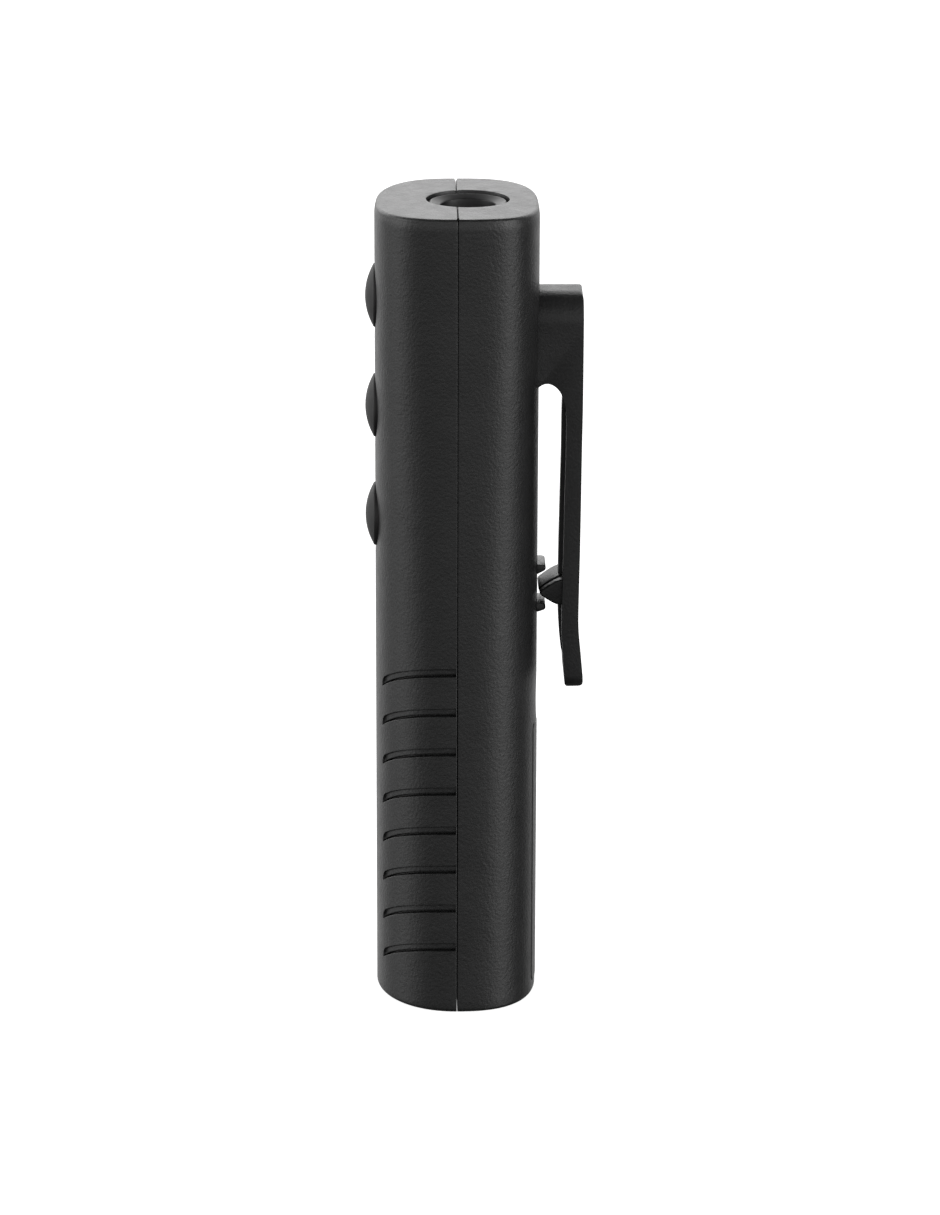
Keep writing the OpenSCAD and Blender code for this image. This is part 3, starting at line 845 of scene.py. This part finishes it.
def studio():
    """Soft studio surround: bright behind the object, a tall soft light at each side, dim towards the camera and overhead."""
    w = bpy.data.worlds.new("world")
    scene.world = w
    w.use_nodes = True
    nt = w.node_tree
    nt.nodes.clear()
    tc = nt.nodes.new("ShaderNodeTexCoord")
    sp = nt.nodes.new("ShaderNodeSeparateXYZ")
    nt.links.new(tc.outputs["Generated"], sp.inputs[0])
    x, y, z = sp.outputs
    ay = math_node(nt, "ABSOLUTE", y)
    az = math_node(nt, "DIVIDE", math_node(nt, "ARCTAN2", ay, x), math.pi)
    g = lambda v: (v, v, v)
    left = ramp(nt, az, [(0.0, g(0.52)), (0.36, g(0.38)), (0.47, g(1.6)), (0.58, g(1.5)), (0.65, g(0.34)), (0.73, g(0.55)),
                         (0.82, g(1.15)), (1.0, g(1.3))])
    right = ramp(nt, az, [(0.0, g(0.52)), (0.22, g(0.52)), (0.33, g(2.3)), (0.41, g(2.3)), (0.49, g(0.10)), (0.69, g(0.12)),
                          (0.82, g(0.8)), (1.0, g(1.3))])
    side = math_node(nt, "MULTIPLY_ADD", y, 6.0, 0.5)
    side.node.use_clamp = True
    mx = nt.nodes.new("ShaderNodeMix")
    mx.data_type = "RGBA"
    nt.links.new(side, mx.inputs[0])
    nt.links.new(left, mx.inputs[6])
    nt.links.new(right, mx.inputs[7])
    h = math_node(nt, "MULTIPLY_ADD", z, 0.5, 0.5)
    up = ramp(nt, h, [(0.0, g(0.10)), (0.22, g(0.14)), (0.34, g(0.75)), (0.46, g(0.85)), (0.56, g(1.9)), (0.74, g(2.0)),
                      (0.84, g(0.45)), (0.93, g(0.10))])
    bg = nt.nodes.new("ShaderNodeBackground")
    nt.links.new(mx.outputs[2], bg.inputs[0])
    nt.links.new(up, bg.inputs[1])
    wo = nt.nodes.new("ShaderNodeOutputWorld")
    nt.links.new(bg.outputs[0], wo.inputs[0])


studio()
scene.view_settings.view_transform = "Standard"
scene.view_settings.look = "None"

piece(build_front(), "casing", "casing_plastic", M_CASE, "front_shell")
piece(build_rear(), "casing", "casing_plastic", M_CASE, "rear_shell")
piece(build_door(), "door", "casing_plastic", M_CASE, "battery_door")
clip = build_clip()
give(clip, M_CLIP)
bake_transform(clip)
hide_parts("clip_root", "pocket_clip")
for nm, z, body in (("cap_upper", 124.2, "upper_button"), ("cap_middle", 104.85, "middle_button"), ("cap_lower", 85.5, "lower_button")):
    piece(build_button(nm, z), body, "button_rubber", M_BUTTON, nm.replace("cap_", "button_"))
piece(build_collar(), "casing", "collar_plastic", M_COLLAR, "collar_ring")

# ---------------------------------------------------------------- carried-over parts
steel = metal("m_steel", (0.60, 0.61, 0.63), (0.25, 0.4))
spring = metal("m_spring", (0.68, 0.69, 0.71), (0.18, 0.3), (1, 1, 1), 1500)
copper = metal("m_copper", (0.72, 0.33, 0.18), (0.25, 0.42), (1, 1, 1), 600)
chrome = metal("m_reflector", (0.86, 0.87, 0.89), (0.05, 0.1), (1, 1, 1), 400)
board = board_mat()
black = plastic("m_nylon", (0.012, 0.012, 0.013), (0.020, 0.020, 0.021), rough=(0.4, 0.55), grain=1800.0)
grey = plastic("m_switch", (0.035, 0.035, 0.038), (0.055, 0.055, 0.06), rough=(0.4, 0.5), grain=3000.0)
red = plastic("m_plunger", (0.20, 0.030, 0.022), (0.28, 0.04, 0.03), rough=(0.35, 0.45), grain=3000.0)
chipm = plastic("m_chip", (0.010, 0.010, 0.011), (0.018, 0.018, 0.019), rough=(0.5, 0.65), grain=5000.0)
ceram = plastic("m_ceramic", (0.32, 0.24, 0.15), (0.44, 0.34, 0.22), rough=(0.55, 0.7), grain=6000.0, cloud=900.0)
wire = plastic("m_wire", (0.42, 0.022, 0.016), (0.52, 0.03, 0.02), rough=(0.3, 0.4), grain=1500.0, strength=0.2)
rubber = plastic("m_gasket", (0.008, 0.008, 0.008), (0.014, 0.014, 0.014), rough=(0.6, 0.75), grain=3500.0)
ledm = plastic("m_led", (0.62, 0.60, 0.38), (0.74, 0.72, 0.50), rough=(0.08, 0.16), grain=900.0, strength=0.05)
for n, m in {
    "clip_screws": steel, "board_screws": steel, "contact_spring": spring, "positive_contact": spring,
    "negative_contact": spring, "sensing_antenna": copper, "torch_reflector": chrome, "torch_board": board,
    "main_board": board, "battery_holder": black, "buzzer": black, "switch_bodies": grey,
    "switch_plunger_upper": red, "switch_plunger_middle": red, "switch_plunger_lower": red,
    "detector_chip": chipm, "smd_passives": ceram, "torch_leads": wire, "lens_gasket": rubber,
    "torch_led": ledm, "torch_lens": lens_mat(), "battery_cell": sleeve_mat(),
}.items():
    give(N[n], m)
